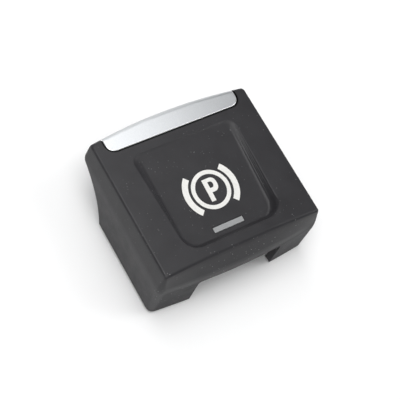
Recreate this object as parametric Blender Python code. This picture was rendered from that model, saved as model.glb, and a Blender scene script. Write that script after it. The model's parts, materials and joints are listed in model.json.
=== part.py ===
"""Electric parking brake switch: a rocking key with a finger dish and a pull-up lip, on its contact base.

Metres. X runs across the key, +Y from its front wall to the lip, +Z up. The origin lies under the middle
of the key, on the face that the base is mounted by.
"""
import math

import bmesh
import bpy
from mathutils import Matrix, Vector

# Fits
CLEARANCE = 0.0003            # between pieces that touch
RUNNING_GAP = 0.0003          # round a moving shaft

# Key, outside
KEY_WIDTH = 0.0350
KEY_DEPTH = 0.0310            # front corners to the middle of the lip
KEY_HEIGHT = 0.0136           # skirt's lower edge to the face
KEY_LIFT = 0.0008             # skirt's lower edge above the mounting face
SKIRT_HEIGHT = 0.0080         # upright part of the walls, below the shoulder
WALL = 0.0014
TOP_WALL = 0.0015
FRONT_BOW = 0.0010            # front wall bulges by this much in its middle
FACE_SETBACK = 0.0009         # shoulder leans back by this much at the front corners
SHOULDER_CURVE = 1.5          # over 1, the shoulder starts steep and leans more towards the face
FACE_FRONT_BOW = 0.0006       # the face's front edge curves inwards
FACE_SIDE_SETBACK = 0.0008
LIP_BOW = 0.0014
FRONT_CORNER_RADIUS = 0.0014
FACE_CORNER_RADIUS = 0.0004
LIP_CORNER_RADIUS = 0.0007
EDGE_RADIUS = 0.00035
LIP_EDGE_RADIUS = 0.0010      # rounding of the lip's upper edge
LIP_NOSE_RADIUS = 0.0010      # rounding of the lip's lower edge

# Finger scoop under the lip
SCOOP_RADIUS = 0.0160
SCOOP_FOOT = 0.0199           # front corners to the scoop's lower end
SCOOP_FOOT_ANGLE = math.radians(67.0)

# Notch between the front legs
LEG_WIDTH = 0.0084
NOTCH_CORNER_RADIUS = 0.0008

# Finger dish in the face
DISH_FRONT = 0.00345          # front corners to the dish's front rim
DISH_TRIM_MARGIN = 0.0020     # face between the dish and the trim
DISH_WIDTH = 0.0218           # between the side rims, half way along
DISH_TAPER = 0.04             # each side rim spreads by this much for each unit towards the lip
DISH_FRONT_DEPTH = 0.00206    # floor below the face at the front rim
DISH_REAR_DEPTH = 0.00012     # and at the rear rim
DISH_WALL_RUN = 0.0017        # the curved wall's breadth, seen from above
DISH_REAR_RUN = 0.0006
DISH_WALL_CURVE = 1.5         # over 1, the wall curves longer at its foot than at its rim
DISH_CORNER_RADIUS = 0.0034
DISH_REAR_CORNER_RADIUS = 0.0018

# Trim strip on the lip
TRIM_SIDE_MARGIN = 0.0032     # face left of the trim and right of it
TRIM_DEPTH = 0.0044           # trim's front edge to the middle of the lip's rear
TRIM_THICKNESS = 0.0008
TRIM_RISE = 0.0004            # upright part of the lip's rear left below the trim
TRIM_CORNER_RADIUS = 0.0018
TRIM_GAP = 0.00022
TRIM_PEG_RADIUS = 0.0006
TRIM_PEG_LENGTH = 0.0014
TRIM_PEG_SIDE_INSET = 0.0038  # trim's end to the outer peg
TRIM_PEG_INSET = 0.0021       # trim's front edge to its pegs

# Indicator lens
LENS_WIDTH = 0.0064
LENS_BREADTH = 0.0010
LENS_Y = 0.0060               # front corners to the lens
LENS_GAP = 0.0001             # seam round the bar
LENS_FLANGE = 0.0008          # flange's reach past the bar
LENS_FLANGE_THICKNESS = 0.0006

# Hinge
PIN_Y = 0.0080                # front corners to the pin
PIN_Z = 0.0056
PIN_RADIUS = 0.0006
PULL_ANGLE = math.radians(5.0)
PUSH_ANGLE = math.radians(3.0)

# Rocker
ROCKER_Z = 0.0076             # underside of its plate
ROCKER_THICKNESS = 0.0009
ROCKER_FRONT = 0.0026
ROCKER_REAR = 0.0172
ROCKER_SIDE_GAP = 0.0004      # to the key's side walls
WINDOW_WIDTH = 0.0140
WINDOW_FRONT = 0.0050
WINDOW_REAR = 0.0160
EAR_THICKNESS = 0.0014
EAR_GAP = 0.0004              # ear to bearing post
EAR_WALL = 0.0005             # material round the ear's bore
CATCH_DEPTH = 0.0008
CATCH_HEIGHT = 0.0008
CATCH_LENGTH = 0.0024
CATCH_YS = (0.0075, 0.0120)
HANGER_RADIUS = 0.0010        # posts under the key's top that bear on the rocker
HANGER_INSET = 0.0017         # side wall to the middle of each post
HANGER_YS = (0.0075, 0.0118)

# Light parts in the key
LIGHT_FRAME_THICKNESS = 0.0007
LIGHT_FRAME_LAP = 0.0009      # how far it bears on the rocker round the window
GUIDE_WIDTH = 0.0112
GUIDE_FRONT = 0.0078
GUIDE_REAR = 0.0158
APERTURE_LAP = 0.0007         # seat round each aperture of the light frame

# Plungers and springs
PLUNGER_INSET = 0.0018        # base's inner wall to the plunger's axis
PULL_PLUNGER_Y = 0.0047
PUSH_PLUNGER_Y = 0.0146
PLUNGER_RADIUS = 0.00065
COLLAR_RADIUS = 0.0015
COLLAR_THICKNESS = 0.0006
GROOVE_PLAY = 0.00035         # above and below the rocker in a plunger's groove
SPRING_RADIUS = 0.00105       # middle of the wire
SPRING_WIRE_RADIUS = 0.00016
SPRING_TURNS = 4.5

# Base
BASE_SIDE_GAP = 0.0005        # to the key's side walls
BASE_FRONT = 0.0050
BASE_LOBE_FRONT = 0.0024      # front end of the two lobes behind the legs
BASE_LOBE_INSET = 0.00015     # the lobes stay this far behind the legs' inner faces
BASE_REAR = 0.0174
BASE_WALL = 0.0008
DECK_Z = 0.0033
DECK_THICKNESS = 0.0006
POST_INSET = 0.0020           # base's side to the post
POST_THICKNESS = 0.0022
POST_WIDTH = 0.0026
POST_CROWN = 0.0006           # material over the pin's bore
COVER_THICKNESS = 0.0012
BOARD_THICKNESS = 0.0007
DOME_RADIUS = 0.0011
DOME_HEIGHT = 0.00035
BUFFER_RADIUS = 0.0008
BUFFER_INSET = 0.0027         # plungers' axes to the buffers' axes
BUFFER_YS = (0.0034, 0.0158)
SCREW_X = 0.0083
SCREW_YS = (0.0079, 0.0142)
SCREW_RADIUS = 0.0005
SCREW_HEAD_RADIUS = 0.0009
SCREW_HEAD_HEIGHT = 0.0005
BOSS_RADIUS = 0.0013

# Board parts
SYMBOL_Y = 0.0130             # front corners to the middle of the symbol
SYMBOL_LED_SPACING = 0.0048
LED_SIZE = (0.0016, 0.0009, 0.0006)
INDICATOR_LED_Y = 0.0076
SHIELD_SIZE = (0.0040, 0.0028)
SHIELD_WALL = 0.0005
SHIELD_TOP = 0.0078
DECK_WINDOW = (0.0092, 0.0052)
CHIP_SIZE = (0.0030, 0.0030, 0.0006)
RESISTOR_SIZE = (0.0012, 0.0006, 0.0004)
RESISTOR_PITCH = 0.0011
SOCKET_SIZE = (0.0100, 0.0032)
SOCKET_Y = 0.0118
SOCKET_WALL = 0.0005
CONTACT_RADIUS = 0.00025
CONTACT_COLUMNS = 5
CONTACT_PITCH = 0.0013

# Worked out from the sizes above
FRONT_Y = (FRONT_BOW - KEY_DEPTH) / 2
FACE_Z = KEY_LIFT + KEY_HEIGHT
SHOULDER_Z = KEY_LIFT + SKIRT_HEIGHT
HALF_WIDTH = KEY_WIDTH / 2
TRIM_FRONT = KEY_DEPTH - TRIM_DEPTH
TRIM_WIDTH = KEY_WIDTH - 2 * TRIM_SIDE_MARGIN
DISH_REAR = TRIM_FRONT - DISH_TRIM_MARGIN
DISH_SLOPE = math.atan((DISH_FRONT_DEPTH - DISH_REAR_DEPTH) / (DISH_REAR - DISH_FRONT))
NOTCH_WIDTH = KEY_WIDTH - 2 * LEG_WIDTH
INNER_HALF = HALF_WIDTH - WALL
HANGER_X = INNER_HALF - HANGER_INSET
BASE_HALF = INNER_HALF - BASE_SIDE_GAP
BASE_LOBE_X = NOTCH_WIDTH / 2 + BASE_LOBE_INSET
PLUNGER_X = BASE_HALF - BASE_WALL - PLUNGER_INSET
POST_X = BASE_HALF - POST_INSET - POST_THICKNESS
EAR_X = POST_X - EAR_GAP - EAR_THICKNESS
BUFFER_X = PLUNGER_X - BUFFER_INSET
PIN_AXIS = Vector((0.0, FRONT_Y + PIN_Y, PIN_Z))
ROCKER_TOP = ROCKER_Z + ROCKER_THICKNESS
LIGHT_FRAME_Z = ROCKER_TOP + CLEARANCE
LIGHT_FRAME_TOP = LIGHT_FRAME_Z + LIGHT_FRAME_THICKNESS
DECK_TOP = DECK_Z + DECK_THICKNESS
BOARD_Z = COVER_THICKNESS + CLEARANCE
BOARD_TOP = BOARD_Z + BOARD_THICKNESS
PULL_TRAVEL = (PIN_Y - PULL_PLUNGER_Y) * PULL_ANGLE
PUSH_TRAVEL = (PUSH_PLUNGER_Y - PIN_Y) * PUSH_ANGLE
COLORS = {
    "black_key": ((0.030, 0.030, 0.033), 0.55, 0.0),
    "silver_trim": ((0.62, 0.63, 0.65), 0.32, 1.0),
    "grey_lens": ((0.36, 0.37, 0.38), 0.45, 0.0),
    "clear_guide": ((0.80, 0.82, 0.84), 0.15, 0.0),
    "black_inner": ((0.045, 0.045, 0.048), 0.60, 0.0),
    "natural_plastic": ((0.62, 0.60, 0.54), 0.45, 0.0),
    "steel": ((0.58, 0.57, 0.55), 0.30, 1.0),
    "green_board": ((0.02, 0.12, 0.05), 0.40, 0.0),
    "brass_contact": ((0.75, 0.58, 0.28), 0.28, 1.0),
    "soft_rubber": ((0.05, 0.05, 0.05), 0.80, 0.0),
    "led_white": ((0.85, 0.84, 0.74), 0.35, 0.0),
    "chip_black": ((0.02, 0.02, 0.02), 0.50, 0.0),
}


def material(name):
    """A plain Principled material of the part's colour, roughness and metallic value."""
    color, roughness, metallic = COLORS[name]
    made = bpy.data.materials.new(name)
    made.use_nodes = True
    shader = made.node_tree.nodes["Principled BSDF"]
    shader.inputs["Base Color"].default_value = (*color, 1.0)
    shader.inputs["Roughness"].default_value = roughness
    shader.inputs["Metallic"].default_value = metallic
    return made


def new_object(name, mesh_data, slot=None):
    """Turn a bmesh into an object with its own material."""
    bmesh.ops.recalc_face_normals(mesh_data, faces=mesh_data.faces)
    mesh = bpy.data.meshes.new(name)
    mesh_data.to_mesh(mesh)
    mesh_data.free()
    made = bpy.data.objects.new(name, mesh)
    bpy.context.scene.collection.objects.link(made)
    if slot:
        mesh.materials.append(material(slot))
    return made


def loft(rings):
    """Skin closed rings of equal length, bottom to top, and cap both ends."""
    made = bmesh.new()
    rows = [[made.verts.new(point) for point in ring] for ring in rings]
    count = len(rows[0])
    for lower, upper in zip(rows, rows[1:]):
        for index in range(count):
            after = (index + 1) % count
            made.faces.new((lower[index], lower[after], upper[after], upper[index]))
    made.faces.new(list(reversed(rows[0])))
    made.faces.new(rows[-1])
    return made


def prism(outline, bottom, top):
    """An upright prism over a closed outline of (x, y) points."""
    return loft([[Vector((x, y, z)) for x, y in outline] for z in (bottom, top)])


def box(x_range, y_range, z_range):
    left, right = x_range
    front, rear = y_range
    return prism([(left, front), (right, front), (right, rear), (left, rear)], *z_range)


def circle(center, radius, count=24):
    x, y = center
    angles = [2 * math.pi * step / count for step in range(count)]
    return [(x + radius * math.cos(angle), y + radius * math.sin(angle)) for angle in angles]


def rod(center, radius, bottom, top, count=24):
    return prism(circle(center, radius, count), bottom, top)


def turned(*levels, count=16):
    """A turned piece about the Z axis, from its (radius, z) levels, bottom to top."""
    return loft([[Vector((x, y, z)) for x, y in circle((0.0, 0.0), radius, count)] for radius, z in levels])


def rod_along_x(axis, radius, x_range, count=24):
    """A round bar along X through the point axis."""
    rings = []
    for x in x_range:
        rings.append([Vector((x, axis.y + a, axis.z + b)) for a, b in circle((0.0, 0.0), radius, count)])
    return loft(rings)


def rounded_rectangle(x_range, y_range, radii, steps=5):
    """Outline with its own radius at each corner, from front left round to rear left."""
    corners = [
        (x_range[0], y_range[0], 1, 1, radii[0], 180),
        (x_range[1], y_range[0], -1, 1, radii[1], 270),
        (x_range[1], y_range[1], -1, -1, radii[2], 0),
        (x_range[0], y_range[1], 1, -1, radii[3], 90),
    ]
    points = []
    for x, y, side_x, side_y, radius, start in corners:
        for step in range(steps + 1):
            angle = math.radians(start + 90 * step / steps)
            along = side_x + math.cos(angle)
            across = side_y + math.sin(angle)
            points.append((x + radius * along, y + radius * across))
    return points


def combine(target, tool_mesh, operation):
    """Apply one exact Boolean to target and drop the tool."""
    tool = new_object("tool", tool_mesh)
    tool.hide_render = True
    tool.display_type = "WIRE"
    step = target.modifiers.new("step", "BOOLEAN")
    step.operation = operation
    step.solver = "EXACT"
    step.object = tool
    done = target.evaluated_get(bpy.context.evaluated_depsgraph_get())
    mesh = bpy.data.meshes.new_from_object(done)
    target.modifiers.clear()
    old = target.data
    target.data = mesh
    mesh.name = target.name
    bpy.data.meshes.remove(old)
    bpy.data.objects.remove(tool)
    return target


def cut(target, tool_mesh):
    return combine(target, tool_mesh, "DIFFERENCE")


def join(target, tool_mesh):
    return combine(target, tool_mesh, "UNION")


def keep(target, tool_mesh):
    return combine(target, tool_mesh, "INTERSECT")


def mesh_of(made):
    """Take an object's mesh as a bmesh and drop the object."""
    taken = bmesh.new()
    taken.from_mesh(made.data)
    bpy.data.objects.remove(made)
    return taken


def set_origin(made, point):
    """Put the object's origin on its joint's axis without moving its shape."""
    made.data.transform(Matrix.Translation(-Vector(point)))
    made.location = point


def shade_smooth(made, angle=32.0):
    made.data.shade_smooth()
    made.data.set_sharp_from_angle(angle=math.radians(angle))


def copies(name, mesh_data, slot, places):
    """One object at each (x, y) place, numbered from 1, all sharing one mesh."""
    first = new_object(f"{name}_1", mesh_data, slot)
    shade_smooth(first)
    first.location = (*places[0], 0.0)
    for number, place in enumerate(places[1:], 2):
        twin = bpy.data.objects.new(f"{name}_{number}", first.data)
        twin.location = (*place, 0.0)
        bpy.context.scene.collection.objects.link(twin)


# The key's outer form


def shoulder_part(z):
    """0 on the skirt, growing to 1 at the face: how far the shoulder has leaned in at height z."""
    rise = (z - SHOULDER_Z) / (FACE_Z - SHOULDER_Z)
    return max(0.0, rise) ** SHOULDER_CURVE


def rounding(z, top, radius):
    """How far a rounded upper edge has curved in at height z."""
    below = top - radius
    if z <= below or radius <= 0:
        return 0.0
    return radius - math.sqrt(max(0.0, radius ** 2 - (z - below) ** 2))


def scoop_center():
    """Middle of the finger scoop's circle, as (y, z)."""
    y = FRONT_Y + SCOOP_FOOT + SCOOP_RADIUS * math.sin(SCOOP_FOOT_ANGLE)
    z = KEY_LIFT - SCOOP_RADIUS * math.cos(SCOOP_FOOT_ANGLE)
    return y, z


def nose_center():
    """Middle of the lip's lower rounding, which meets the scoop and the lip's rear smoothly."""
    scoop_y, scoop_z = scoop_center()
    y = FRONT_Y + KEY_DEPTH - LIP_NOSE_RADIUS
    reach = SCOOP_RADIUS + LIP_NOSE_RADIUS
    return y, scoop_z + math.sqrt(reach ** 2 - (y - scoop_y) ** 2)


def rear_profile(count_scoop=9, count_nose=3, count_edge=5):
    """The key's rear outline in the middle plane, as (y, z) from the skirt up to the face."""
    scoop_y, scoop_z = scoop_center()
    nose_y, nose_z = nose_center()
    start = math.pi - math.asin((KEY_LIFT - scoop_z) / SCOOP_RADIUS)
    end = math.atan2(nose_z - scoop_z, nose_y - scoop_y)
    points = []
    for step in range(count_scoop + 1):
        angle = start + (end - start) * step / count_scoop
        y = scoop_y + SCOOP_RADIUS * math.cos(angle)
        points.append((y, scoop_z + SCOOP_RADIUS * math.sin(angle)))
    first = end + math.pi
    for step in range(1, count_nose + 1):
        angle = first + (2 * math.pi - first) * step / count_nose
        y = nose_y + LIP_NOSE_RADIUS * math.cos(angle)
        points.append((y, nose_z + LIP_NOSE_RADIUS * math.sin(angle)))
    lip_y = FRONT_Y + KEY_DEPTH
    for step in range(count_edge + 1):
        angle = math.pi / 2 * step / count_edge
        y = lip_y - LIP_EDGE_RADIUS * (1 - math.cos(angle))
        points.append((y, FACE_Z - LIP_EDGE_RADIUS * (1 - math.sin(angle))))
    return points


def bow(x, half, height):
    return height * (1 - (x / half) ** 2)


def key_ring(z, rear_y, inset=0.0):
    """One level of the key: bowed front and rear, straight sides, rounded corners."""
    lean = shoulder_part(z)
    edge = rounding(z, FACE_Z, EDGE_RADIUS)
    half = HALF_WIDTH - FACE_SIDE_SETBACK * lean - edge - inset
    front_radius = FRONT_CORNER_RADIUS + (FACE_CORNER_RADIUS - FRONT_CORNER_RADIUS) * lean
    front_radius = max(front_radius - inset, EDGE_RADIUS)
    scoop_part = (rear_y - FRONT_Y - SCOOP_FOOT) / (KEY_DEPTH - SCOOP_FOOT)
    scoop_part = min(1.0, max(0.0, scoop_part))
    rear_radius = max(LIP_CORNER_RADIUS * scoop_part - inset, EDGE_RADIUS)
    front_bulge = -FRONT_BOW * (1 - lean) + FACE_FRONT_BOW * lean
    front = FRONT_Y + FACE_SETBACK * lean + edge + inset
    points = []
    steps = 12
    reach = half - front_radius
    for step in range(steps + 1):
        x = -reach + 2 * reach * step / steps
        points.append((x, front + bow(x, HALF_WIDTH, front_bulge)))
    corner_y = points[-1][1] + front_radius
    for step in range(1, 6):
        angle = math.radians(-90 + 90 * step / 5)
        points.append((reach + front_radius * math.cos(angle), corner_y + front_radius * math.sin(angle)))
    reach = half - rear_radius
    rear_corner = rear_y - LIP_BOW * scoop_part * (reach / HALF_WIDTH) ** 2 - rear_radius
    for step in range(5):
        angle = math.radians(90 * step / 5)
        points.append((reach + rear_radius * math.cos(angle), rear_corner + rear_radius * math.sin(angle)))
    for step in range(steps + 1):
        x = reach - 2 * reach * step / steps
        points.append((x, rear_y - LIP_BOW * scoop_part * (x / HALF_WIDTH) ** 2))
    for step in range(1, 6):
        angle = math.radians(90 + 90 * step / 5)
        points.append((-reach + rear_radius * math.cos(angle), rear_corner + rear_radius * math.sin(angle)))
    reach = half - front_radius
    for step in range(5):
        angle = math.radians(180 + 90 * step / 5)
        points.append((-reach + front_radius * math.cos(angle), corner_y + front_radius * math.sin(angle)))
    return [Vector((x, y, z)) for x, y in points]


def key_form():
    """The key's solid outer form, without its dish, notch, trim recess and hollow."""
    profile = rear_profile()
    levels = {round(z, 7): y for y, z in profile}
    shoulder_levels = [SHOULDER_Z, SHOULDER_Z + 0.25 * (FACE_Z - SHOULDER_Z)]
    edge_levels = [FACE_Z - EDGE_RADIUS, FACE_Z - 0.45 * EDGE_RADIUS]
    for z in shoulder_levels + edge_levels:
        levels[round(z, 7)] = rear_at(profile, z)
    heights = sorted(levels)
    return loft([key_ring(z, levels[z]) for z in heights])


def rear_at(profile, z):
    """Rear y of the profile at height z, between its points."""
    for (y_low, z_low), (y_high, z_high) in zip(profile, profile[1:]):
        if z_low <= z <= z_high:
            part = (z - z_low) / (z_high - z_low)
            return y_low + (y_high - y_low) * part
    return profile[-1][0]


# Dish


def dish_floor(y):
    """Height of the dish's sloping floor at y."""
    return FACE_Z - DISH_REAR_DEPTH - (FRONT_Y + DISH_REAR - y) * math.tan(DISH_SLOPE)


def dish_ring(part, grow):
    """One level of the dish: part is 0 at the wall's foot and 1 at its rim.

    grow moves the level outwards by the moulding's wall.
    """
    inward = 1 - part
    half = DISH_WIDTH / 2 - DISH_WALL_RUN * inward + grow
    front = FRONT_Y + DISH_FRONT + DISH_WALL_RUN * inward - grow
    rear = FRONT_Y + DISH_REAR - DISH_REAR_RUN * inward + grow
    front_radius = DISH_CORNER_RADIUS - DISH_WALL_RUN * inward + grow
    rear_radius = DISH_REAR_CORNER_RADIUS - DISH_REAR_RUN * inward + grow
    radii = (front_radius, front_radius, rear_radius, rear_radius)
    middle = FRONT_Y + (DISH_FRONT + DISH_REAR) / 2
    rise = math.sin(math.pi / 2 * part ** DISH_WALL_CURVE) ** 2
    drop = grow / math.cos(DISH_SLOPE)
    points = []
    for x, y in rounded_rectangle((-half, half), (front, rear), radii, steps=6):
        spread = 1 + DISH_TAPER * (y - middle) / (DISH_WIDTH / 2)
        floor = dish_floor(y) - drop
        points.append(Vector((x * spread, y, floor + (FACE_Z - floor) * rise)))
    return points


def dish_tub(grow, parts):
    """The dish's space, from its floor to above the face, with its wall curved in steps."""
    rings = [dish_ring(part, grow) for part in parts]
    rings.append([Vector((point.x, point.y, FACE_Z + TOP_WALL)) for point in rings[-1]])
    return loft(rings)


# Key pieces


def cavity():
    """The hollow inside the key: its walls follow the outer form, and its roof follows the dish."""
    scoop_y, scoop_z = scoop_center()
    radius = SCOOP_RADIUS + WALL
    roof = FACE_Z - TOP_WALL
    floor = KEY_LIFT - WALL
    deepest = FRONT_Y + TRIM_FRONT - WALL - TRIM_GAP
    levels = [floor + (roof - floor) * step / 8 for step in range(9)]
    levels.append(SHOULDER_Z)
    rings = []
    for z in sorted(levels):
        rise = min(max(z - scoop_z, 0.0), radius)
        rear = min(scoop_y - math.sqrt(radius ** 2 - rise ** 2), deepest)
        rings.append(key_ring(z, rear, inset=WALL))
    hollow = new_object("hollow", loft(rings))
    cut(hollow, dish_tub(WALL, (0.0, 0.5, 1.0)))
    return mesh_of(hollow)


def notch():
    """Opening between the front legs, up to the shoulder."""
    half = NOTCH_WIDTH / 2
    y_range = (FRONT_Y - FRONT_BOW - WALL, FRONT_Y + WALL + FRONT_CORNER_RADIUS)
    outline = [(-half, KEY_LIFT - WALL), (half, KEY_LIFT - WALL)]
    for side, start in ((1, 0), (-1, 90)):
        for step in range(4):
            angle = math.radians(start + 90 * step / 3)
            x = side * (half - NOTCH_CORNER_RADIUS) + NOTCH_CORNER_RADIUS * math.cos(angle)
            z = SHOULDER_Z - NOTCH_CORNER_RADIUS + NOTCH_CORNER_RADIUS * math.sin(angle)
            outline.append((x, z))
    return loft([[Vector((x, y, z)) for x, z in outline] for y in y_range])


def trim_bottom():
    """Lower edge of the trim, on the upright rear of the lip."""
    return nose_center()[1] + TRIM_RISE


def trim_outline(grow):
    """The trim's plan, running out past the lip's rear."""
    half = TRIM_WIDTH / 2 + grow
    y_range = (FRONT_Y + TRIM_FRONT - grow, FRONT_Y + KEY_DEPTH + 2 * TRIM_THICKNESS)
    radius = TRIM_CORNER_RADIUS + grow
    return rounded_rectangle((-half, half), y_range, (radius, radius, CLEARANCE, CLEARANCE), steps=5)


def trim_space(grow):
    """The space that the trim fills on top of the lip and down its rear."""
    space = new_object("space", prism(trim_outline(grow), trim_bottom() - grow, FACE_Z + TRIM_THICKNESS))
    core_rear = FRONT_Y + KEY_DEPTH - TRIM_THICKNESS - grow
    outline = []
    steps = 12
    for step in range(steps + 1):
        x = HALF_WIDTH - 2 * HALF_WIDTH * step / steps
        outline.append((x, core_rear - LIP_BOW * (x / HALF_WIDTH) ** 2))
    outline += [(-HALF_WIDTH, FRONT_Y), (HALF_WIDTH, FRONT_Y)]
    cut(space, prism(outline, trim_bottom() - TRIM_THICKNESS, FACE_Z - TRIM_THICKNESS - grow))
    return mesh_of(space)


def trim_pegs(grow):
    """Three pegs under the trim, or the holes for them."""
    y = FRONT_Y + TRIM_FRONT + TRIM_PEG_INSET
    outer = TRIM_WIDTH / 2 - TRIM_PEG_SIDE_INSET
    top = FACE_Z - TRIM_THICKNESS + 0.5 * CLEARANCE
    bottom = FACE_Z - TRIM_THICKNESS - TRIM_PEG_LENGTH - grow
    return [
        rod((x, y), TRIM_PEG_RADIUS + grow, bottom, top, 12)
        for x in (-outer, 0.0, outer)
    ]


def lens_bar(grow, bottom, top):
    half = LENS_WIDTH / 2 + grow
    breadth = LENS_BREADTH / 2 + grow
    y = FRONT_Y + LENS_Y
    return box((-half, half), (y - breadth, y + breadth), (bottom, top))


def catches():
    """Small ramps inside the side walls that hold the rocker up."""
    top = ROCKER_Z - CLEARANCE
    wall_x = INNER_HALF
    half_length = CATCH_LENGTH / 2
    made = []
    for side in (-1, 1):
        for place in CATCH_YS:
            rings = []
            for y in (FRONT_Y + place - half_length, FRONT_Y + place + half_length):
                section = (
                    (wall_x + 0.5 * WALL, top),
                    (wall_x - CATCH_DEPTH, top),
                    (wall_x - CATCH_DEPTH, top - 0.3 * CATCH_HEIGHT),
                    (wall_x, top - CATCH_HEIGHT - CATCH_DEPTH),
                    (wall_x + 0.5 * WALL, top - CATCH_HEIGHT - CATCH_DEPTH),
                )
                rings.append([Vector((side * x, y, z)) for x, z in section])
            made.append(loft(rings))
    return made


def hangers():
    """Posts under the key's top that bear on the rocker."""
    foot = ROCKER_TOP + CLEARANCE
    head = FACE_Z - 0.5 * TOP_WALL
    return [
        rod((side * HANGER_X, FRONT_Y + y), HANGER_RADIUS, foot, head, 12)
        for side in (-1, 1)
        for y in HANGER_YS
    ]


def key_shell():
    shell = new_object("key_shell", key_form(), "black_key")
    cut(shell, cavity())
    cut(shell, dish_tub(0.0, (0.0, 0.2, 0.35, 0.5, 0.62, 0.74, 0.87, 1.0)))
    cut(shell, notch())
    cut(shell, trim_space(TRIM_GAP))
    for hole in trim_pegs(CLEARANCE):
        cut(shell, hole)
    cut(shell, lens_bar(LENS_GAP, LIGHT_FRAME_TOP, FACE_Z))
    for piece in catches() + hangers():
        join(shell, piece)
    shade_smooth(shell)
    return shell


def trim_strip():
    trim = new_object("trim_strip", key_form(), "silver_trim")
    keep(trim, trim_space(0.0))
    for peg in trim_pegs(0.0):
        join(trim, peg)
    shade_smooth(trim)
    return trim


def under_dish(y):
    """Underside of the key's moulding below the dish."""
    return dish_floor(y) - WALL / math.cos(DISH_SLOPE)


def sloped_block(half, y_range, bottom, drop):
    """A block whose top follows the dish's underside, drop below it."""
    rings = []
    for y in y_range:
        top = under_dish(y) - drop
        section = ((-half, bottom), (half, bottom), (half, top), (-half, top))
        rings.append([Vector((x, y, z)) for x, z in section])
    return loft(rings)


def indicator_lens():
    y = FRONT_Y + LENS_Y
    flange_x = LENS_WIDTH / 2 + LENS_FLANGE
    flange_y = LENS_BREADTH / 2 + LENS_FLANGE
    seat = LIGHT_FRAME_TOP + CLEARANCE
    lens = new_object("indicator_lens", lens_bar(0.0, seat, FACE_Z), "grey_lens")
    cut(lens, dish_tub(0.0, (0.0, 1.0)))
    flange_top = seat + LENS_FLANGE_THICKNESS
    join(lens, box((-flange_x, flange_x), (y - flange_y, y + flange_y), (seat, flange_top)))
    return lens


def symbol_guide():
    y_range = (FRONT_Y + GUIDE_FRONT, FRONT_Y + GUIDE_REAR)
    block = sloped_block(GUIDE_WIDTH / 2, y_range, LIGHT_FRAME_TOP + CLEARANCE, CLEARANCE)
    return new_object("symbol_guide", block, "clear_guide")


def light_frame():
    """Frame under the dish with one aperture for the guide and one for the lens."""
    half = WINDOW_WIDTH / 2 + LIGHT_FRAME_LAP
    y_range = (FRONT_Y + WINDOW_FRONT - LIGHT_FRAME_LAP, FRONT_Y + WINDOW_REAR + LIGHT_FRAME_LAP)
    z_range = (LIGHT_FRAME_Z, LIGHT_FRAME_TOP)
    frame = new_object("light_frame", box((-half, half), y_range, z_range), "black_inner")
    guide_x = GUIDE_WIDTH / 2 - APERTURE_LAP
    guide_y = (FRONT_Y + GUIDE_FRONT + APERTURE_LAP, FRONT_Y + GUIDE_REAR - APERTURE_LAP)
    through = (LIGHT_FRAME_Z - CLEARANCE, LIGHT_FRAME_TOP + CLEARANCE)
    cut(frame, box((-guide_x, guide_x), guide_y, through))
    lens_x = LENS_WIDTH / 2 + LENS_FLANGE - APERTURE_LAP
    lens_y = LENS_BREADTH / 2 + LENS_FLANGE - APERTURE_LAP
    y = FRONT_Y + LENS_Y
    cut(frame, box((-lens_x, lens_x), (y - lens_y, y + lens_y), through))
    return frame


def rocker():
    """Plate with four slots for the plungers and two ears that turn on the pin."""
    half = INNER_HALF - ROCKER_SIDE_GAP
    y_range = (FRONT_Y + ROCKER_FRONT, FRONT_Y + ROCKER_REAR)
    plate = new_object("rocker", box((-half, half), y_range, (ROCKER_Z, ROCKER_TOP)), "black_inner")
    window = WINDOW_WIDTH / 2
    through = (ROCKER_Z - CLEARANCE, ROCKER_TOP + CLEARANCE)
    cut(plate, box((-window, window), (FRONT_Y + WINDOW_FRONT, FRONT_Y + WINDOW_REAR), through))
    slot = PLUNGER_RADIUS + RUNNING_GAP
    swing = (ROCKER_TOP - PIN_Z) * math.sin(PULL_ANGLE)
    for side in (-1, 1):
        x_range = sorted((side * (PLUNGER_X - slot), side * (PLUNGER_X + slot)))
        front_end = FRONT_Y + PULL_PLUNGER_Y + slot + swing
        rear_end = FRONT_Y + PUSH_PLUNGER_Y - slot - swing
        cut(plate, box(x_range, (y_range[0] - CLEARANCE, front_end), through))
        cut(plate, box(x_range, (rear_end, y_range[1] + CLEARANCE), through))
    ear_radius = PIN_RADIUS + RUNNING_GAP + EAR_WALL
    for side in (-1, 1):
        x_range = sorted((side * EAR_X, side * (EAR_X + EAR_THICKNESS)))
        y_ear = (PIN_AXIS.y - ear_radius, PIN_AXIS.y + ear_radius)
        ear = new_object("ear", box(x_range, y_ear, (PIN_Z, ROCKER_Z + 0.5 * ROCKER_THICKNESS)))
        join(ear, rod_along_x(PIN_AXIS, ear_radius, x_range))
        join(plate, mesh_of(ear))
        bore_range = (x_range[0] - CLEARANCE, x_range[1] + CLEARANCE)
        cut(plate, rod_along_x(PIN_AXIS, PIN_RADIUS + RUNNING_GAP, bore_range))
    shade_smooth(plate)
    return plate


# Plungers and springs


def plunger(name, place, travel):
    """Round plunger: tip, collar above its spring, groove for the rocker, head."""
    groove_bottom = ROCKER_Z - GROOVE_PLAY
    groove_top = ROCKER_TOP + GROOVE_PLAY
    tip = BOARD_TOP + CLEARANCE + DOME_HEIGHT + CLEARANCE + travel
    body = turned(
        (PLUNGER_RADIUS, tip),
        (PLUNGER_RADIUS, groove_bottom - COLLAR_THICKNESS),
        (COLLAR_RADIUS, groove_bottom - COLLAR_THICKNESS),
        (COLLAR_RADIUS, groove_bottom),
        (PLUNGER_RADIUS, groove_bottom),
        (PLUNGER_RADIUS, groove_top),
        (COLLAR_RADIUS, groove_top),
        (COLLAR_RADIUS, groove_top + COLLAR_THICKNESS),
    )
    made = new_object(name, body, "natural_plastic")
    shade_smooth(made)
    made.location = (*place, 0.0)


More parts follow.
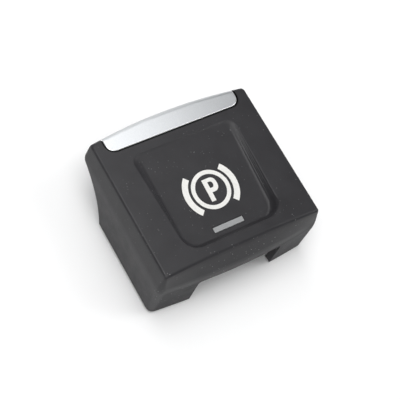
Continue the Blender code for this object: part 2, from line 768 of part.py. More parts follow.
def spring(name, place):
    """Coil spring between the deck and a plunger's collar."""
    bottom = DECK_TOP + CLEARANCE
    top = ROCKER_Z - GROOVE_PLAY - COLLAR_THICKNESS - CLEARANCE
    steps_per_turn = 12
    sides = 6
    low = bottom + SPRING_WIRE_RADIUS
    rise = (top - bottom - 2 * SPRING_WIRE_RADIUS) / SPRING_TURNS
    total = int(steps_per_turn * SPRING_TURNS)
    rings = []
    for step in range(total + 1):
        turns = step / steps_per_turn
        angle = 2 * math.pi * turns
        outward = Vector((math.cos(angle), math.sin(angle), 0.0))
        center = Vector((0.0, 0.0, low + rise * turns)) + SPRING_RADIUS * outward
        ring = []
        for side in range(sides):
            around = 2 * math.pi * side / sides
            across = math.cos(around) * outward + math.sin(around) * Vector((0.0, 0.0, 1.0))
            ring.append(center + SPRING_WIRE_RADIUS * across)
        rings.append(ring)
    made = new_object(name, loft(rings), "steel")
    shade_smooth(made, 60.0)
    made.location = (*place, 0.0)


# Base pieces


def base_outline(inset):
    """Plan of the base: a bar with two lobes reaching forward behind the key's legs."""
    half = BASE_HALF - inset
    lobe = BASE_LOBE_X + inset
    rear = FRONT_Y + BASE_REAR - inset
    front = FRONT_Y + BASE_FRONT + inset
    lobe_front = FRONT_Y + BASE_LOBE_FRONT + inset
    return [
        (-half, lobe_front), (-lobe, lobe_front), (-lobe, front), (lobe, front),
        (lobe, lobe_front), (half, lobe_front), (half, rear), (-half, rear),
    ]


def plunger_places():
    """Name part, place and travel of each plunger."""
    places = []
    for word, side in (("left", -1), ("right", 1)):
        places.append(("pull", word, (side * PLUNGER_X, FRONT_Y + PULL_PLUNGER_Y), PULL_TRAVEL))
        places.append(("push", word, (side * PLUNGER_X, FRONT_Y + PUSH_PLUNGER_Y), PUSH_TRAVEL))
    return places


def screw_places():
    return [(side * SCREW_X, FRONT_Y + y) for side in (-1, 1) for y in SCREW_YS]


def base_housing():
    """Tray turned upside down, with guides, bearing posts and screw bosses."""
    tray = prism(base_outline(0.0), 0.0, DECK_TOP)
    housing = new_object("base_housing", tray, "black_inner")
    cut(housing, prism(base_outline(BASE_WALL), -CLEARANCE, DECK_Z))
    for place in screw_places():
        join(housing, rod(place, BOSS_RADIUS, BOARD_TOP + CLEARANCE, DECK_Z + 0.5 * DECK_THICKNESS, 16))
        cut(housing, rod(place, SCREW_RADIUS + CLEARANCE, BOARD_TOP, DECK_Z + 0.3 * DECK_THICKNESS, 16))
    through = (DECK_Z - CLEARANCE, DECK_TOP + CLEARANCE)
    for _, _, place, _ in plunger_places():
        cut(housing, rod(place, PLUNGER_RADIUS + RUNNING_GAP, *through, 16))
    cut(housing, centered_box(DECK_WINDOW, (0.0, FRONT_Y + SYMBOL_Y), through))
    shield_hole = shrunk(SHIELD_SIZE, -CLEARANCE)
    cut(housing, centered_box(shield_hole, (0.0, FRONT_Y + INDICATOR_LED_Y), through))
    post_top = PIN_Z + PIN_RADIUS + RUNNING_GAP + POST_CROWN
    for side in (-1, 1):
        x_range = sorted((side * POST_X, side * (POST_X + POST_THICKNESS)))
        y_post = (PIN_AXIS.y - POST_WIDTH / 2, PIN_AXIS.y + POST_WIDTH / 2)
        join(housing, box(x_range, y_post, (DECK_Z + 0.5 * DECK_THICKNESS, post_top)))
        bore_range = (x_range[0] - CLEARANCE, x_range[1] + CLEARANCE)
        cut(housing, rod_along_x(PIN_AXIS, PIN_RADIUS + RUNNING_GAP, bore_range))
    shade_smooth(housing)


def base_cover():
    plate = prism(base_outline(BASE_WALL + CLEARANCE), 0.0, COVER_THICKNESS)
    cover = new_object("base_cover", plate, "black_inner")
    through = (-CLEARANCE, COVER_THICKNESS + CLEARANCE)
    sunk = (-CLEARANCE, SCREW_HEAD_HEIGHT + CLEARANCE)
    for place in screw_places():
        cut(cover, rod(place, SCREW_RADIUS + CLEARANCE, *through, 16))
        cut(cover, rod(place, SCREW_HEAD_RADIUS + CLEARANCE, *sunk, 16))
    cut(cover, centered_box(shrunk(SOCKET_SIZE, -CLEARANCE), (0.0, FRONT_Y + SOCKET_Y), through))


def circuit_board():
    plate = prism(base_outline(BASE_WALL + CLEARANCE), BOARD_Z, BOARD_TOP)
    board = new_object("circuit_board", plate, "green_board")
    through = (BOARD_Z - CLEARANCE, BOARD_TOP + CLEARANCE)
    for place in screw_places():
        cut(board, rod(place, SCREW_RADIUS + CLEARANCE, *through, 16))


def cover_screws():
    head_bottom = CLEARANCE / 2
    head_top = head_bottom + SCREW_HEAD_HEIGHT
    screw = turned(
        (SCREW_HEAD_RADIUS, head_bottom),
        (SCREW_HEAD_RADIUS, head_top),
        (SCREW_RADIUS, head_top),
        (SCREW_RADIUS, DECK_Z),
    )
    copies("cover_screw", screw, "steel", screw_places())


def snap_domes():
    """Low metal domes on the board, one under each plunger."""
    low = BOARD_TOP + CLEARANCE
    bulge = ((1.0, 0.0), (0.85, 0.45), (0.55, 0.85), (0.25, 1.0))
    dome = turned(*[(DOME_RADIUS * part, low + DOME_HEIGHT * rise) for part, rise in bulge])
    copies("snap_dome", dome, "brass_contact", [place for _, _, place, _ in plunger_places()])


def stop_buffers():
    """Rubber buffers on the deck that meet the rocker at the end of its travel."""
    for kind, place, angle in zip(("pull", "push"), BUFFER_YS, (PULL_ANGLE, PUSH_ANGLE)):
        reach = abs(place - PIN_Y) + BUFFER_RADIUS
        top = ROCKER_Z - reach * math.sin(angle) - CLEARANCE
        buffer = turned((BUFFER_RADIUS, DECK_TOP + CLEARANCE), (BUFFER_RADIUS, top))
        places = [(side * BUFFER_X, FRONT_Y + place) for side in (-1, 1)]
        copies(f"{kind}_buffer", buffer, "soft_rubber", places)


def hinge_pins():
    """A short pin on each side, fast in its post, that the rocker's ear turns on."""
    for word, side in (("left", -1), ("right", 1)):
        x_range = sorted((side * (EAR_X - CLEARANCE), side * (POST_X + POST_THICKNESS)))
        pin = new_object(f"hinge_pin_{word}", rod_along_x(PIN_AXIS, PIN_RADIUS, x_range), "steel")
        shade_smooth(pin)


def shrunk(size, wall):
    """A (width, breadth) size less a wall on every side; a negative wall grows it."""
    return (size[0] - 2 * wall, size[1] - 2 * wall)


def centered_box(size, center, z_range):
    """A box of a (width, breadth) size about an (x, y) centre."""
    half_x = size[0] / 2
    half_y = size[1] / 2
    x_range = (center[0] - half_x, center[0] + half_x)
    return box(x_range, (center[1] - half_y, center[1] + half_y), z_range)


def on_board(name, size, slot, places):
    """Small blocks on the board."""
    bottom = BOARD_TOP + CLEARANCE
    block = centered_box(size[:2], (0.0, 0.0), (bottom, bottom + size[2]))
    copies(name, block, slot, [(x, FRONT_Y + y) for x, y in places])


def board_parts():
    half = SYMBOL_LED_SPACING / 2
    on_board("symbol_led", LED_SIZE, "led_white", [(-half, SYMBOL_Y), (half, SYMBOL_Y)])
    on_board("indicator_led", LED_SIZE, "led_white", [(0.0, INDICATOR_LED_Y)])
    between_screws = sum(SCREW_YS) / 2
    on_board("controller_chip", CHIP_SIZE, "chip_black", [(-SCREW_X, between_screws)])
    rows = [(SCREW_X, between_screws + RESISTOR_PITCH * row) for row in (-1, 0, 1)]
    on_board("resistor", RESISTOR_SIZE, "chip_black", rows)


def light_shield():
    """Square tube round the indicator's light."""
    center = (0.0, FRONT_Y + INDICATOR_LED_Y)
    bottom = BOARD_TOP + CLEARANCE
    tube = centered_box(SHIELD_SIZE, center, (bottom, SHIELD_TOP))
    shield = new_object("light_shield", tube, "black_inner")
    hollow = shrunk(SHIELD_SIZE, SHIELD_WALL)
    cut(shield, centered_box(hollow, center, (bottom - CLEARANCE, SHIELD_TOP + CLEARANCE)))


def connector():
    """Low shroud under the board, with two rows of contacts that stand down from the board."""
    center = (0.0, FRONT_Y + SOCKET_Y)
    top = BOARD_Z - CLEARANCE
    bottom = CLEARANCE / 2
    tube = centered_box(SOCKET_SIZE, center, (bottom, top))
    shroud = new_object("connector_shroud", tube, "natural_plastic")
    hollow = shrunk(SOCKET_SIZE, SOCKET_WALL)
    cut(shroud, centered_box(hollow, center, (bottom - CLEARANCE, top + CLEARANCE)))
    places = []
    for row in (-1, 1):
        for column in range(CONTACT_COLUMNS):
            x = (column - (CONTACT_COLUMNS - 1) / 2) * CONTACT_PITCH
            places.append((x, center[1] + row * CONTACT_PITCH / 2))
    contact = turned((CONTACT_RADIUS, 2 * bottom), (CONTACT_RADIUS, top), count=8)
    copies("contact", contact, "brass_contact", places)


def build():
    for old in list(bpy.data.objects):
        bpy.data.objects.remove(old)
    turning = [key_shell(), trim_strip(), indicator_lens(), symbol_guide(), light_frame(), rocker()]
    for piece in turning:
        set_origin(piece, PIN_AXIS)
    for kind, word, place, travel in plunger_places():
        plunger(f"{kind}_plunger_{word}", place, travel)
        spring(f"{kind}_spring_{word}", place)
    hinge_pins()
    base_housing()
    base_cover()
    circuit_board()
    cover_screws()
    snap_domes()
    stop_buffers()
    board_parts()
    light_shield()
    connector()


build()
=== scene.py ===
"""Looks for the electric parking brake switch: materials, printed symbol, floor, light and camera.

Metres, in the CAD model's frame: X across the key, +Y to the lip, +Z up.
"""
import json
import math

import bmesh
import bpy
from mathutils import Matrix, Vector


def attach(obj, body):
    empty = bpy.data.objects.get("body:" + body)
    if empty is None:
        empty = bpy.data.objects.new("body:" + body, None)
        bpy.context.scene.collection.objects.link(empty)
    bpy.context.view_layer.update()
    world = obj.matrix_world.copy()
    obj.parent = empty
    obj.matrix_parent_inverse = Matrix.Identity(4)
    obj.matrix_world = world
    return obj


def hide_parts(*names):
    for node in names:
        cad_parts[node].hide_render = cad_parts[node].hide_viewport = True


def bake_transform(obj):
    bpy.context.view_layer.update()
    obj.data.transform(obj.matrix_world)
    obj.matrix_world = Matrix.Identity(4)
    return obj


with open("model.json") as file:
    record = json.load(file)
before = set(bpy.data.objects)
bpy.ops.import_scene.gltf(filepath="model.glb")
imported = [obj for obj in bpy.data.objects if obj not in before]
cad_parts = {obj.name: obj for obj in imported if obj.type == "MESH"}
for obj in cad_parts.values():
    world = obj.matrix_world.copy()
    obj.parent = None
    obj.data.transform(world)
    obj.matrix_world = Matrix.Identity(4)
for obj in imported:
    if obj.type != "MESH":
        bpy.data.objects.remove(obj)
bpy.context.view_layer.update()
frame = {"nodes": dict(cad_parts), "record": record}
nodes = frame["nodes"]
scene = bpy.context.scene

# Sizes repeated from the CAD source
FRONT_Y = -0.0150
FACE_Z = 0.0144
DISH_FRONT = 0.00345
DISH_REAR = 0.0246
DISH_FRONT_DEPTH = 0.00206
DISH_REAR_DEPTH = 0.00012
TRIM_WIDTH = 0.0286
TRIM_FRONT = 0.0266
TRIM_CORNER_RADIUS = 0.0018
TRIM_GAP = 0.00022


# Shader nodes

NARROW = (0.35, 0.65)         # parts of a noise's range that are stretched to the whole of it
WIDE = (0.30, 0.70)


class Shader:
    """A short way to wire a material. Pattern scales are per metre: 1000 gives grains of about 1 mm."""

    def __init__(self, name):
        self.material = bpy.data.materials.new(name)
        self.material.use_nodes = True
        self.tree = self.material.node_tree
        self.link = self.tree.links.new
        self.surface = self.tree.nodes["Principled BSDF"]
        self.space = self.add("ShaderNodeTexCoord").outputs["Object"]

    def add(self, kind, **values):
        made = self.tree.nodes.new(kind)
        for key, value in values.items():
            setattr(made, key, value)
        return made

    def noise(self, scale, detail=3.0):
        made = self.add("ShaderNodeTexNoise")
        made.inputs["Scale"].default_value = scale
        made.inputs["Detail"].default_value = detail
        self.link(self.space, made.inputs["Vector"])
        return made.outputs["Fac"]

    def cells(self, scale, **values):
        """Distance to the nearest point of a Voronoi pattern, or to its nearest edge."""
        made = self.add("ShaderNodeTexVoronoi", **values)
        made.inputs["Scale"].default_value = scale
        self.link(self.space, made.inputs["Vector"])
        return made.outputs["Distance"]

    def ramp(self, source, low, high, start=0.0, end=1.0):
        """Map source from low..high to start..end, clamped."""
        made = self.add("ShaderNodeMapRange")
        limits = {"From Min": low, "From Max": high, "To Min": start, "To Max": end}
        for key, value in limits.items():
            made.inputs[key].default_value = value
        self.link(source, made.inputs["Value"])
        return made.outputs["Result"]

    def uneven(self, scale, start=0.0, end=1.0, detail=3.0, cut=WIDE):
        """Noise that runs from start to end."""
        return self.ramp(self.noise(scale, detail), *cut, start, end)

    def split(self, vector):
        """A vector's X, Y and Z."""
        made = self.add("ShaderNodeSeparateXYZ")
        self.link(vector, made.inputs[0])
        return made.outputs

    def math(self, operation, first, second=0.0):
        made = self.add("ShaderNodeMath", operation=operation)
        for socket, value in zip(made.inputs, (first, second)):
            if isinstance(value, float):
                socket.default_value = value
            else:
                self.link(value, socket)
        return made.outputs[0]

    def mix(self, factor, color_a, color_b):
        made = self.add("ShaderNodeMix", data_type="RGBA")
        self.link(factor, made.inputs["Factor"])
        sockets = {item.name: item for item in made.inputs if item.type == "RGBA"}
        for key, color in (("A", color_a), ("B", color_b)):
            if isinstance(color, tuple):
                sockets[key].default_value = (*color, 1.0)
            else:
                self.link(color, sockets[key])
        return next(item for item in made.outputs if item.type == "RGBA")

    def plain(self, key, value):
        """Set an input of the surface to one value."""
        self.surface.inputs[key].default_value = value

    def drive(self, key, source):
        """Let a pattern set an input of the surface."""
        self.link(source, self.surface.inputs[key])

    def bump(self, height, strength, distance):
        made = self.add("ShaderNodeBump")
        made.inputs["Strength"].default_value = strength
        made.inputs["Distance"].default_value = distance
        self.link(height, made.inputs["Height"])
        self.drive("Normal", made.outputs["Normal"])

    def beside_trim(self, place):
        """Distance outside the trim's outline, seen from above. It is below 0 on the trim."""
        corner_x = TRIM_WIDTH / 2 - TRIM_CORNER_RADIUS
        corner_y = FRONT_Y + TRIM_FRONT + TRIM_CORNER_RADIUS
        across = self.math("SUBTRACT", self.math("ABSOLUTE", place["X"]), corner_x)
        across = self.math("MAXIMUM", across, 0.0)
        along = self.math("MAXIMUM", self.math("SUBTRACT", corner_y, place["Y"]), 0.0)
        squares = [self.math("MULTIPLY", side, side) for side in (across, along)]
        away = self.math("SQRT", self.math("ADD", *squares))
        return self.math("SUBTRACT", away, TRIM_CORNER_RADIUS)


# Materials of the pieces that the photo shows

BLACK_DARKER = (0.0190, 0.0183, 0.0205)
BLACK_LIGHTER = (0.0240, 0.0232, 0.0258)
DUST_COLOR = (0.26, 0.26, 0.26)
DUST_RADIUS = (0.09, 0.14)    # soft edge of a speck, as a share of its cell
DUST_PATCH = (0.47, 0.60)     # range of the noise that cuts the dust into patches
DUST_FADE = (FRONT_Y + 0.0016, FRONT_Y + 0.0032)  # from the dusty front to the cleaner face
DUST_ON_FACE = 0.35
# Painted shade on the key's face beside the trim's gap: its colour, and the band it covers
GAP_SHADE_COLOR = (0.002, 0.002, 0.002)
GAP_SHADE_BAND = (TRIM_GAP + 0.00006, TRIM_GAP + 0.00014)  # painted shade on the key's rounded edge at the trim's gap
GRAZING = (0.60, 0.74)        # from here on, a face turned away from view is rougher
GRAZING_ROUGHNESS = 0.25
SATIN_DARKER = (0.545, 0.560, 0.575)
SATIN_LIGHTER = (0.600, 0.615, 0.630)
# Painted highlight along the trim's rim
RIM_HIGHLIGHT_COLOR = (0.93, 0.94, 0.95)
RIM_HIGHLIGHT_BAND = (-0.00022, -0.00016)  # where the rim's painted highlight starts, inside the trim's outline
# Painted shade on the trim's sides down in the gap
TRIM_SIDE_SHADE = (0.012, 0.012, 0.013)
INK_DARKER = (0.63, 0.625, 0.60)
INK_LIGHTER = (0.70, 0.695, 0.67)


def key_plastic():
    """Matte black of the key: spark grain, pale dust, and painted shade on the key's edge along the
    trim's gap.
    """
    made = Shader("black_key")
    place = made.split(made.space)
    plastic = made.mix(made.uneven(260.0, detail=4.0), BLACK_DARKER, BLACK_LIGHTER)
    speck = made.ramp(made.cells(1500.0), *DUST_RADIUS, start=1.0, end=0.0)
    patch = made.ramp(made.noise(300.0, detail=2.0), *DUST_PATCH)
    front = made.ramp(place["Y"], *DUST_FADE, start=1.0, end=DUST_ON_FACE)
    dust = made.math("MULTIPLY", made.math("MULTIPLY", speck, patch), front)
    dusty = made.mix(dust, plastic, DUST_COLOR)
    # painted shade on the key's edge beside the trim's gap
    edge = made.ramp(made.beside_trim(place), *GAP_SHADE_BAND, start=1.0, end=0.0)
    made.drive("Base Color", made.mix(edge, dusty, GAP_SHADE_COLOR))
    weight = made.add("ShaderNodeLayerWeight")
    weight.inputs["Blend"].default_value = 0.5
    grazing = made.ramp(weight.outputs["Facing"], *GRAZING, start=0.0, end=GRAZING_ROUGHNESS)
    made.drive("Roughness", made.math("ADD", made.uneven(400.0, 0.30, 0.38), grazing))
    made.plain("Specular IOR Level", 0.275)
    made.bump(made.noise(7500.0), strength=0.35, distance=0.00003)
    return made.material


def silver():
    """Satin silver of the trim: fine flake, a painted highlight on the rim, and painted shade on the
    sides down in the gap.
    """
    made = Shader("silver_trim")
    place = made.split(made.space)
    normal = made.split(made.add("ShaderNodeTexCoord").outputs["Normal"])
    satin = made.mix(made.uneven(9000.0, cut=NARROW), SATIN_DARKER, SATIN_LIGHTER)
    # painted highlight along the rim
    rim_highlight = made.ramp(made.beside_trim(place), *RIM_HIGHLIGHT_BAND)
    highlighted = made.mix(rim_highlight, satin, RIM_HIGHLIGHT_COLOR)
    # painted shade on the upright front and end sides, down in the gap
    upright = made.ramp(normal["Z"], 0.15, 0.35, start=1.0, end=0.0)
    not_rear = made.ramp(normal["Y"], 0.1, 0.4, start=1.0, end=0.0)
    side = made.math("MULTIPLY", upright, not_rear)
    made.drive("Base Color", made.mix(side, highlighted, TRIM_SIDE_SHADE))
    made.drive("Roughness", made.uneven(250.0, 0.29, 0.32, detail=1.0))
    made.plain("Metallic", 1.0)
    made.bump(made.noise(12000.0, detail=1.0), strength=0.05, distance=0.00001)
    return made.material


def print_ink():
    """Cream ink of the symbol, slightly uneven."""
    made = Shader("symbol_print")
    made.drive("Base Color", made.mix(made.uneven(3000.0), INK_DARKER, INK_LIGHTER))
    made.drive("Roughness", made.uneven(1200.0, 0.45, 0.60))
    made.bump(made.noise(7500.0, detail=2.0), strength=0.2, distance=0.00001)
    return made.material


# Materials of other pieces


def moulded(name, color, roughness, grain, mottle=0.10, specular=0.5):
    """Moulded plastic: fine spark grain, slightly uneven colour and sheen."""
    made = Shader(name)
    darker = tuple(part * (1 - mottle) for part in color)
    lighter = tuple(part * (1 + mottle) for part in color)
    made.drive("Base Color", made.mix(made.uneven(900.0, cut=NARROW), darker, lighter))
    made.drive("Roughness", made.uneven(350.0, roughness - 0.05, roughness + 0.05))
    made.plain("Specular IOR Level", specular)
    made.bump(made.noise(9000.0, detail=2.0), strength=grain, distance=0.00002)
    return made.material


def metal(name, color, roughness):
    """Plain metal with faint marks of its making."""
    made = Shader(name)
    darker = tuple(part * 0.93 for part in color)
    made.drive("Base Color", made.mix(made.uneven(700.0, cut=NARROW), darker, color))
    made.drive("Roughness", made.uneven(2500.0, roughness - 0.04, roughness + 0.04))
    made.plain("Metallic", 1.0)
    made.bump(made.noise(7000.0, detail=2.0), strength=0.1, distance=0.00001)
    return made.material


def board_green():
    """Board lacquer with faint copper tracks under it."""
    made = Shader("green_board")
    lines = made.cells(700.0, feature="DISTANCE_TO_EDGE", distance="MANHATTAN")
    track = made.ramp(lines, 0.03, 0.06, start=1.0, end=0.0)
    made.drive("Base Color", made.mix(track, (0.014, 0.085, 0.035), (0.035, 0.16, 0.06)))
    made.plain("Roughness", 0.35)
    made.bump(track, strength=0.4, distance=0.00003)
    return made.material


def clear():
    """Clear moulded plastic of the light guide."""
    made = Shader("clear_guide")
    made.plain("Base Color", (0.90, 0.92, 0.94, 1.0))
    made.drive("Roughness", made.uneven(900.0, 0.10, 0.22))
    made.plain("Transmission Weight", 0.85)
    made.plain("IOR", 1.49)
    return made.material


MATERIALS = {
    "black_key": key_plastic(),
    "silver_trim": silver(),
    "grey_lens": moulded("grey_lens", (0.25, 0.255, 0.26), roughness=0.42, grain=0.10, mottle=0.03),
    "clear_guide": clear(),
    "black_inner": moulded("black_inner", (0.030, 0.030, 0.032), roughness=0.60, grain=0.30),
    "natural_plastic": moulded(
        "natural_plastic", (0.58, 0.55, 0.48), roughness=0.45, grain=0.15, mottle=0.05),
    "steel": metal("steel", (0.58, 0.57, 0.55), roughness=0.28),
    "green_board": board_green(),
    "brass_contact": metal("brass_contact", (0.78, 0.60, 0.30), roughness=0.26),
    "soft_rubber": moulded(
        "soft_rubber", (0.028, 0.028, 0.028), roughness=0.80, grain=0.40, mottle=0.15, specular=0.3),
    "led_white": moulded("led_white", (0.80, 0.78, 0.66), roughness=0.35, grain=0.05, mottle=0.05),
    "chip_black": moulded("chip_black", (0.020, 0.020, 0.021), roughness=0.50, grain=0.20),
}


# Smooth shading, and the trim's bevel

JOIN_DISTANCE = 0.000002
SMOOTH_ANGLE = math.radians(32.0)
BEVEL_ANGLE = math.radians(60.0)
BEVEL_WIDTH = 0.00016
BEVEL_LOWEST = 0.0139         # the trim's lower edges are hidden and stay sharp


class MeshGroup:
    """A short way to wire a modifier's nodes, which take a mesh and give one back."""

    def __init__(self, name):
        self.tree = bpy.data.node_groups.new(name, "GeometryNodeTree")
        for side in ("INPUT", "OUTPUT"):
            self.tree.interface.new_socket("Geometry", in_out=side, socket_type="NodeSocketGeometry")
        self.link = self.tree.links.new
        self.start = self.add("NodeGroupInput").outputs[0]
        self.end = self.add("NodeGroupOutput").inputs[0]

    def add(self, kind, **values):
        made = self.tree.nodes.new(kind)
        for key, value in values.items():
            setattr(made, key, value)
        return made

    def above(self, source, limit):
        """True where source is greater than limit."""
        made = self.add("FunctionNodeCompare", data_type="FLOAT", operation="GREATER_THAN")
        made.inputs["B"].default_value = limit
        self.link(source, made.inputs["A"])
        return made.outputs["Result"]

    def sharp(self, angle):
        """True on edges that are sharper than angle."""
        edge_angle = self.add("GeometryNodeInputMeshEdgeAngle")
        return self.above(edge_angle.outputs["Unsigned Angle"], angle)


def smoothing(angle):
    """Join the mesh's points and shade it smooth, except over edges sharper than angle."""
    group = MeshGroup("smooth_below_angle")
    merge = group.add("GeometryNodeMergeByDistance")
    merge.inputs["Distance"].default_value = JOIN_DISTANCE
    faces = group.add("GeometryNodeSetShadeSmooth", domain="FACE")
    edges = group.add("GeometryNodeSetShadeSmooth", domain="EDGE")
    edges.inputs["Shade Smooth"].default_value = False
    group.link(group.start, merge.inputs["Geometry"])
    group.link(merge.outputs["Geometry"], faces.inputs["Geometry"])
    group.link(faces.outputs["Geometry"], edges.inputs["Geometry"])
    group.link(group.sharp(angle), edges.inputs["Selection"])
    group.link(edges.outputs["Geometry"], group.end)
    return group.tree


def bevel_weights(lowest, angle):
    """Give bevel weight to the edges above a height that are sharper than angle."""
    group = MeshGroup("weigh_high_edges")
    height = group.add("ShaderNodeSeparateXYZ")
    group.link(group.add("GeometryNodeInputPosition").outputs[0], height.inputs[0])
    both = group.add("FunctionNodeBooleanMath", operation="AND")
    group.link(group.above(height.outputs["Z"], lowest), both.inputs[0])
    group.link(group.sharp(angle), both.inputs[1])
    store = group.add("GeometryNodeStoreNamedAttribute", data_type="FLOAT", domain="EDGE")
    store.inputs["Name"].default_value = "bevel_weight_edge"
    group.link(group.start, store.inputs["Geometry"])
    group.link(both.outputs[0], store.inputs["Value"])
    group.link(store.outputs["Geometry"], group.end)
    return group.tree


SMOOTH = smoothing(SMOOTH_ANGLE)
HIGH_EDGES = bevel_weights(BEVEL_LOWEST, BEVEL_ANGLE)


def bevel(made):
    """Small bevel along the edges that have bevel weight."""
    made.modifiers.new("edge_weights", "NODES").node_group = HIGH_EDGES
    edge = made.modifiers.new("trim_edge", "BEVEL")
    edge.limit_method = "WEIGHT"
    edge.width = BEVEL_WIDTH
    edge.segments = 2
    edge.use_clamp_overlap = False


def dress(made, slot):
    """Material and smooth shading of an object, with a bevel on the trim."""
    made.data.materials.clear()
    made.data.materials.append(MATERIALS[slot])
    made.modifiers.new("smooth", "NODES").node_group = SMOOTH
    if slot == "silver_trim":
        bevel(made)
    made.modifiers.new("flat_faces", "WEIGHTED_NORMAL").keep_sharp = True


for subpart in frame["record"]["subparts"]:
    dress(nodes[subpart["node"]], subpart["material_slot"])


# Springs, shown as steel copies of the CAD coils (in the switch they change length with their plungers)

for name in [node for node in nodes if "_spring_" in node]:
    coil = bpy.data.objects.new(f"{name}_coil", nodes[name].data.copy())
    scene.collection.objects.link(coil)
    dress(coil, "steel")
    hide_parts(name)
    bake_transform(coil)


# Printed symbol: a ring and a letter between two brackets, on the dish's floor

SYMBOL_X = 0.00022
SYMBOL_Y = FRONT_Y + 0.01325
RING_OUTER = 0.00387
RING_INNER = 0.00307
RING_STEPS = 120
BRACKET_OUTER = 0.00560
BRACKET_INNER = 0.00442
BRACKET_ANGLE = 44.8          # degrees to each side of the bracket's middle
BRACKET_STEPS = 36
STEM_LEFT = -0.000975
STEM_RIGHT = -0.00005
LETTER_HALF_HEIGHT = 0.002225
BOWL_OUTER = {"flat": 0.00050, "half_width": 0.00120, "middle": 0.000812, "half_height": 0.001413}
BOWL_INNER = {"flat": 0.00034, "half_width": 0.00054, "middle": 0.000890, "half_height": 0.000612}
BOWL_POWER = 0.86             # below 1 the bowl is squarer than an ellipse
BOWL_STEPS = 24
INK_LIFT = 0.00001
INK_THICKNESS = 0.00002
INK = print_ink()


def dish_floor(y):
    """Height of the dish's floor at y."""
    slope = (DISH_FRONT_DEPTH - DISH_REAR_DEPTH) / (DISH_REAR - DISH_FRONT)
    return FACE_Z - DISH_REAR_DEPTH - (FRONT_Y + DISH_REAR - y) * slope


def ink_section(mesh_data, outer, inner):
    """Four corners of a band of ink, where it is cut across from an outer to an inner point."""
    corners = []
    for x, y in (outer, inner):
        base = Vector((SYMBOL_X + x, SYMBOL_Y + y, dish_floor(SYMBOL_Y + y)))
        for lift in (INK_LIFT, INK_LIFT + INK_THICKNESS):
            corners.append(mesh_data.verts.new(base + Vector((0, 0, lift))))
    outer_low, outer_high, inner_low, inner_high = corners
    return outer_low, outer_high, inner_high, inner_low


def printed(name, bands):
    """Thin print of bands, each between an outer and an inner line with as many points."""
    mesh_data = bmesh.new()
    for outer_line, inner_line, closed in bands:
        sections = [ink_section(mesh_data, *points) for points in zip(outer_line, inner_line)]
        stretches = list(zip(sections, sections[1:]))
        if closed:
            stretches.append((sections[-1], sections[0]))
        else:
            mesh_data.faces.new(sections[0])
            mesh_data.faces.new(sections[-1])
        for here, after in stretches:
            for corner in range(4):
                sides = (here[corner - 1], here[corner], after[corner], after[corner - 1])
                mesh_data.faces.new(sides)
    bmesh.ops.recalc_face_normals(mesh_data, faces=mesh_data.faces)
    mesh = bpy.data.meshes.new(name)
    mesh_data.to_mesh(mesh)
    mesh_data.free()
    mesh.materials.append(INK)
    made = bpy.data.objects.new(name, mesh)
    scene.collection.objects.link(made)
    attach(made, "key")


def arc(radius, start, end, steps):
    """Points about the symbol's middle, angles in degrees."""
    angles = [math.radians(start + (end - start) * step / steps) for step in range(steps + 1)]
    return [(radius * math.cos(angle), radius * math.sin(angle)) for angle in angles]


def bowl(flat, half_width, middle, half_height):
    """One line of the letter's bowl: flat from the stem, then round, and back to the stem."""
    points = [(STEM_RIGHT, middle + half_height)]
    for step in range(BOWL_STEPS + 1):
        angle = math.pi / 2 - math.pi * step / BOWL_STEPS
        across = abs(math.cos(angle)) ** BOWL_POWER
        along = math.copysign(abs(math.sin(angle)) ** BOWL_POWER, math.sin(angle))
        points.append((flat + half_width * across, middle + half_height * along))
    points.append((STEM_RIGHT, middle - half_height))
    return points


ring = [arc(radius, 0, 360, RING_STEPS)[:-1] for radius in (RING_OUTER, RING_INNER)]
printed("symbol_ring", [(*ring, True)])
for word, middle in (("left", 180.0), ("right", 0.0)):
    ends = (middle - BRACKET_ANGLE, middle + BRACKET_ANGLE)
    bracket = [arc(radius, *ends, BRACKET_STEPS) for radius in (BRACKET_OUTER, BRACKET_INNER)]
    printed(f"symbol_bracket_{word}", [(*bracket, False)])
stem = [[(x, -LETTER_HALF_HEIGHT), (x, LETTER_HALF_HEIGHT)] for x in (STEM_LEFT, STEM_RIGHT)]
printed("symbol_letter", [(*stem, False), (bowl(**BOWL_OUTER), bowl(**BOWL_INNER), False)])


# Floor

FLOOR_HALF = 4.0
NEAR_FLOOR = 0.07             # the floor is plain lit floor this far from the key's middle
FAR_FLOOR = 0.18              # and shows as white from here on


def floor_material():
    """White floor that keeps its soft shadows round the key and shows as white further off."""
    made = Shader("floor")
    made.plain("Base Color", (0.90, 0.90, 0.90, 1.0))
    made.plain("Roughness", 1.0)
    made.plain("Specular IOR Level", 0.0)
    ray = made.add("ShaderNodeLightPath").outputs
    seen = made.math("MAXIMUM", ray["Is Camera Ray"], ray["Is Glossy Ray"])
    seen = made.math("MAXIMUM", seen, ray["Is Transmission Ray"])
    away = made.add("ShaderNodeVectorMath", operation="LENGTH")
    made.link(made.space, away.inputs[0])
    far = made.ramp(away.outputs["Value"], NEAR_FLOOR, FAR_FLOOR)
    mix = made.add("ShaderNodeMixShader")
    made.link(made.math("MULTIPLY", far, seen), mix.inputs[0])
    made.link(made.surface.outputs[0], mix.inputs[1])
    made.link(made.add("ShaderNodeEmission").outputs[0], mix.inputs[2])
    made.link(mix.outputs[0], made.tree.nodes["Material Output"].inputs["Surface"])
    return made.material


floor_mesh = bpy.data.meshes.new("floor")
quarters = [(-1, -1), (1, -1), (1, 1), (-1, 1)]
floor_corners = [(x * FLOOR_HALF, y * FLOOR_HALF, 0) for x, y in quarters]
floor_mesh.from_pydata(floor_corners, [], [(0, 1, 2, 3)])
floor_mesh.materials.append(floor_material())
floor = bpy.data.objects.new("floor", floor_mesh)
scene.collection.objects.link(floor)


# Light

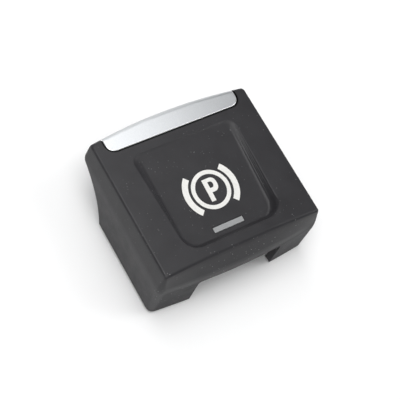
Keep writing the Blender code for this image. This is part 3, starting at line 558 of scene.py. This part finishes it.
LIGHT_AIM = Vector((0, 0, 0.010))
LIGHTS = {                    # azimuth and elevation in degrees, distance and size in metres, watts
    "light_right": (-20, 45, 0.40, 0.22, 0.42),
    "light_top": (170, 80, 0.25, 0.20, 0.31),
    "light_camera_side": (210, 65, 0.28, 0.22, 0.13),
    "light_rear": (92, 50, 0.25, 0.18, 0.07),
    "light_left": (208, 40, 0.28, 0.22, 0.09),
    "light_trim_near": (75, 65, 0.16, 0.10, 0.028),
    "light_trim_far": (58, 60, 0.22, 0.16, 0.022),
    "light_dish": (10, 70, 0.20, 0.08, 0.006),
    "light_rear_low": (75, 25, 0.30, 0.20, 0.075),
}
SKY_COLOR = (0.98, 0.99, 1.0, 1.0)
SKY_LOW = (0.05, 0.75)        # height of the view direction, and the sky's strength from there down
SKY_HIGH = (0.42, 0.18)       # the same from there up


def softbox(name, azimuth, elevation, distance, size, energy):
    """Round soft light that aims at the key."""
    data = bpy.data.lights.new(name, "AREA")
    data.shape = "DISK"
    data.size = size
    data.energy = energy
    made = bpy.data.objects.new(name, data)
    turn, rise = math.radians(azimuth), math.radians(elevation)
    ground = math.cos(rise)
    away = Vector((ground * math.cos(turn), ground * math.sin(turn), math.sin(rise)))
    made.location = away * distance
    made.rotation_euler = (LIGHT_AIM - made.location).to_track_quat("-Z", "Y").to_euler()
    scene.collection.objects.link(made)


def studio():
    """Sky that is bright near the horizon and dims overhead."""
    world = bpy.data.worlds.new("studio")
    world.use_nodes = True
    tree = world.node_tree
    background = tree.nodes["Background"].inputs
    background["Color"].default_value = SKY_COLOR
    way = tree.nodes.new("ShaderNodeTexCoord")
    split = tree.nodes.new("ShaderNodeSeparateXYZ")
    glow = tree.nodes.new("ShaderNodeMapRange")
    glow.interpolation_type = "SMOOTHSTEP"
    for end, (height, strength) in (("Min", SKY_LOW), ("Max", SKY_HIGH)):
        glow.inputs[f"From {end}"].default_value = height
        glow.inputs[f"To {end}"].default_value = strength
    tree.links.new(way.outputs["Generated"], split.inputs[0])
    tree.links.new(split.outputs["Z"], glow.inputs["Value"])
    tree.links.new(glow.outputs["Result"], background["Strength"])
    return world


for name, values in LIGHTS.items():
    softbox(name, *values)
scene.world = studio()
scene.view_settings.view_transform = "Standard"


# Camera, fitted to the photo

CAMERA_PLACE = Vector((-0.09193, -0.06346, 0.20004))
CAMERA_VIEW = Vector((0.41318, 0.28127, -0.86613)).normalized()
CAMERA_RIGHT = Vector((0.83976, -0.4856, 0.2429)).normalized()
CAMERA_LENS = 106.559         # millimetres, on a sensor of 36
camera_data = bpy.data.cameras.new("camera")
camera_data.sensor_width = 36.0
camera_data.lens = CAMERA_LENS
camera = bpy.data.objects.new("camera", camera_data)
up = CAMERA_RIGHT.cross(CAMERA_VIEW).normalized()
right = CAMERA_VIEW.cross(up).normalized()
turn = Matrix((right, up, -CAMERA_VIEW)).transposed()
camera.matrix_world = Matrix.Translation(CAMERA_PLACE) @ turn.to_4x4()
scene.collection.objects.link(camera)
scene.camera = camera
